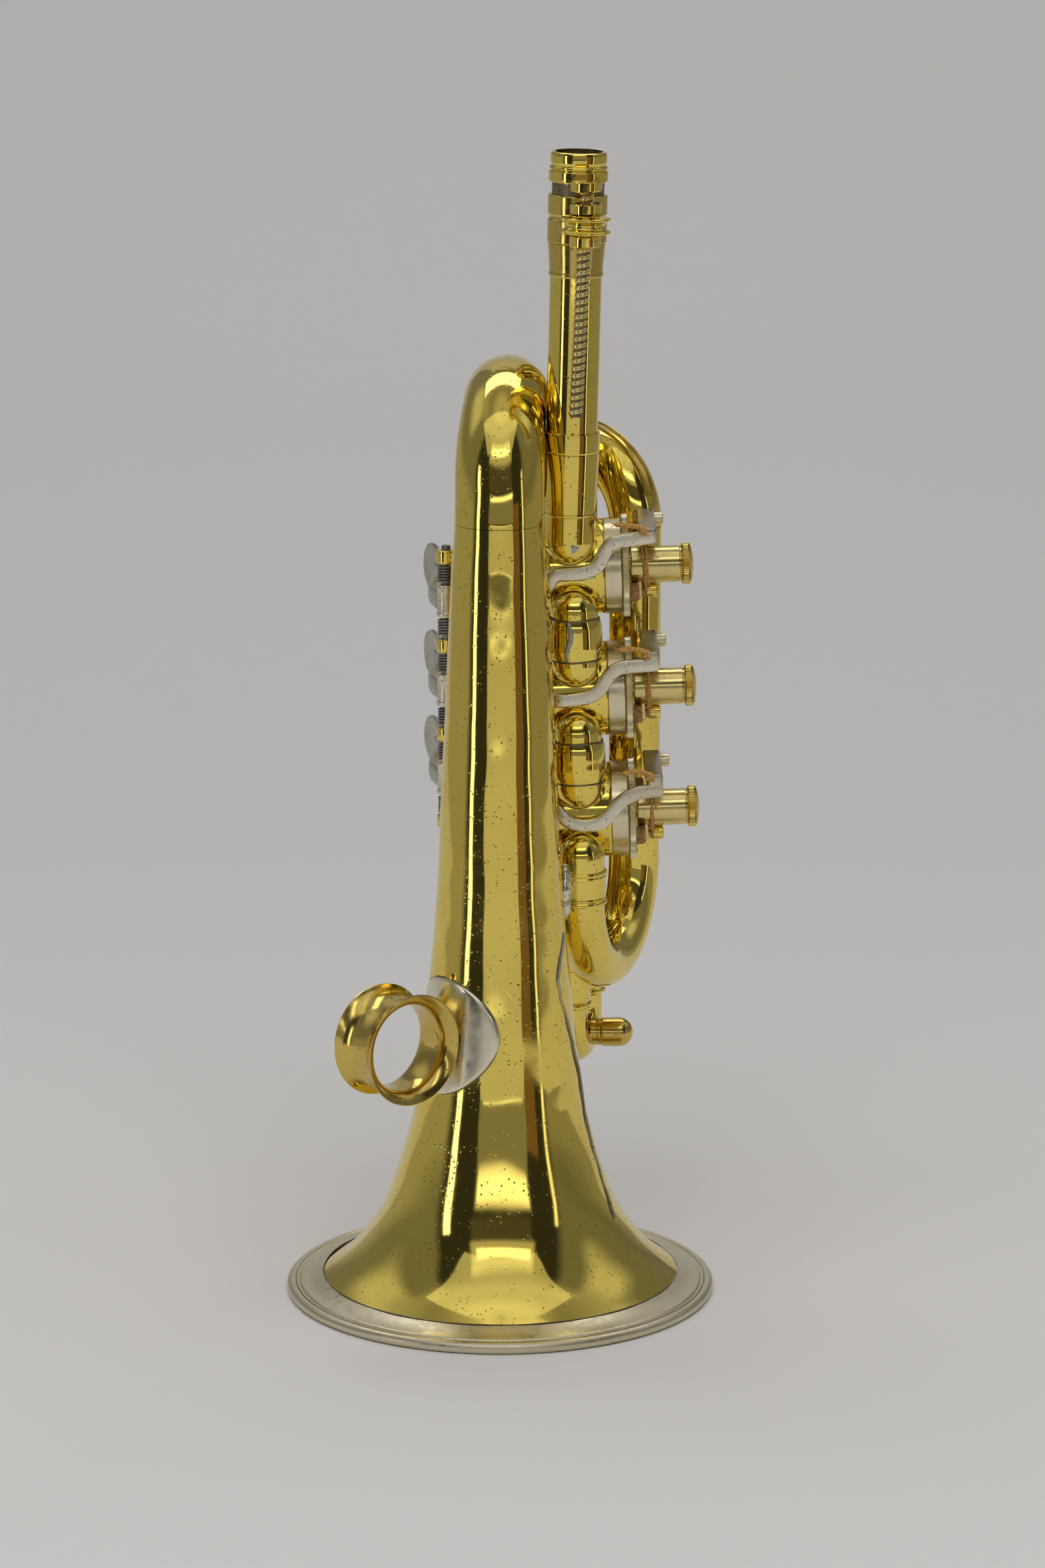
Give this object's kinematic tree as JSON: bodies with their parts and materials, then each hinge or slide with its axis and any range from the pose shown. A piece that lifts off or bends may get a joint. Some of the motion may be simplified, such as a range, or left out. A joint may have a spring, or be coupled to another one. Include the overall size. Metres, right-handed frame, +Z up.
{
  "type": "cornet",
  "caption": "Rotary-valve cornet that stands on its bell, with string-driven valves, side keys, a screw-set mouthpipe slide, valve slides and a finger ring.",
  "frame": {"origin": "centre of the bell rim, in the plane the rim stands on", "axes": "+Z up the bell axis towards the mouthpipe, +X along the valve axes towards the stop hubs, +Y from the bell to the back of the wrap"},
  "size_m": [0.12, 0.161, 0.3182],
  "materials": {
    "brass": "polished, lightly tarnished",
    "nickel_silver": "satin, tarnished nickel silver",
    "spring_steel": "dull",
    "string": "waxed twisted linen",
    "cork": "matte"
  },
  "bodies": {
    "horn": {"bell": "brass", "finger_ring": "brass", "bell_bow": "brass", "tail_tube": "brass", "tail_bow": "brass", "back_tube": "brass", "upper_bow": "brass", "return_tube": "brass", "lower_bow": "brass", "bow_guard": "brass", "tube_ferrules": "brass", "stays": "brass", "leadpipe": "brass", "leadpipe_collar": "brass", "leadpipe_ferrule": "brass", "adjuster_bosses": "brass", "valve_casing_1": "brass", "valve_casing_2": "brass", "valve_casing_3": "brass", "clamp_rings": "brass", "rear_caps": "brass", "inlet_elbow": "brass", "outlet_elbow": "brass", "link_1_2": "brass", "link_2_3": "brass", "slide_legs_1": "brass", "slide_legs_2": "brass", "slide_legs_3": "brass", "hinge_rod": "brass", "key_posts": "brass", "bell_garland": "nickel_silver", "ring_disc": "nickel_silver", "bearing_plates": "nickel_silver", "bell_rim_wire": "nickel_silver", "cork_stops": "cork", "key_springs": "spring_steel"},
    "mouthpipe": {"mouthpipe_socket": "brass", "adjuster_lug": "brass", "adjuster_screw": "brass"},
    "tuning_wheel": {"adjuster_wheel": "brass"},
    "slide_1": {"slide_bow_1": "brass"},
    "slide_2": {"slide_bow_2": "brass"},
    "slide_3": {"slide_bow_3": "brass", "slide_knob": "brass"},
    "key_1_lever": {"key_1": "nickel_silver", "string_1": "string"},
    "rotor_1_set": {"rotor_1": "brass", "stop_hub_1": "brass", "hub_cap_1": "brass"},
    "key_2_lever": {"key_2": "nickel_silver", "string_2": "string"},
    "rotor_2_set": {"rotor_2": "brass", "stop_hub_2": "brass", "hub_cap_2": "brass"},
    "key_3_lever": {"key_3": "nickel_silver", "string_3": "string"},
    "rotor_3_set": {"rotor_3": "brass", "stop_hub_3": "brass", "hub_cap_3": "brass"}
  },
  "joints": [
    {"name": "tuning_wheel_turn", "type": "hinge", "parent": "horn", "child": "tuning_wheel", "pos_m": [0.02327, 0.0004, 0.2997], "axis": [0.0235, 0, 0.9997], "range_deg": [-324.1, 7200.1]},
    {"name": "mouthpipe_slide", "type": "slide", "parent": "horn", "child": "mouthpipe", "axis": [0.0235, 0, 0.9997], "range_m": [-0.0018, 0.04]},
    {"name": "key_1_press", "type": "hinge", "parent": "horn", "child": "key_1_lever", "pos_m": [-0.0149, 0.0204, 0.1928], "axis": [0, 0, -1], "range_deg": [0, 9.08], "stiffness_Nm_per_rad": 0.3, "springref_deg": -5.73},
    {"name": "rotor_1_turn", "type": "hinge", "parent": "horn", "child": "rotor_1_set", "pos_m": [0.02021, 0.0295, 0.20058], "axis": [0.9995, 0, 0.0314], "range_deg": [-0.01, 90.01]},
    {"name": "key_2_press", "type": "hinge", "parent": "horn", "child": "key_2_lever", "pos_m": [-0.0149, 0.0204, 0.1675], "axis": [0, 0, -1], "range_deg": [0, 8.9], "stiffness_Nm_per_rad": 0.3, "springref_deg": -5.73},
    {"name": "rotor_2_turn", "type": "hinge", "parent": "horn", "child": "rotor_2_set", "pos_m": [0.0213, 0.0295, 0.1658], "axis": [0.9995, 0, 0.0314], "range_deg": [-0.01, 90.01]},
    {"name": "key_3_press", "type": "hinge", "parent": "horn", "child": "key_3_lever", "pos_m": [-0.0149, 0.0204, 0.1423], "axis": [0, 0, -1], "range_deg": [0, 8.65], "stiffness_Nm_per_rad": 0.3, "springref_deg": -5.73},
    {"name": "rotor_3_turn", "type": "hinge", "parent": "horn", "child": "rotor_3_set", "pos_m": [0.02239, 0.0295, 0.13102], "axis": [0.9995, 0, 0.0314], "range_deg": [-0.01, 90.01]},
    {"name": "slide_1_pull", "type": "slide", "parent": "horn", "child": "slide_1", "axis": [0, 0, 1], "range_m": [0, 0.03]},
    {"name": "slide_2_pull", "type": "slide", "parent": "horn", "child": "slide_2", "axis": [0, 1, 0], "range_m": [0, 0.01]},
    {"name": "slide_3_pull", "type": "slide", "parent": "horn", "child": "slide_3", "axis": [0, 0, -1], "range_m": [0, 0.03]}
  ],
  "couplings": [
    {"joint": "tuning_wheel_turn", "follows": "mouthpipe_slide", "rad_per_m": 3141.6},
    {"joint": "rotor_1_turn", "follows": "key_1_press", "ratio": 9.9119},
    {"joint": "rotor_2_turn", "follows": "key_2_press", "ratio": 10.112},
    {"joint": "rotor_3_turn", "follows": "key_3_press", "ratio": 10.405}
  ]
}
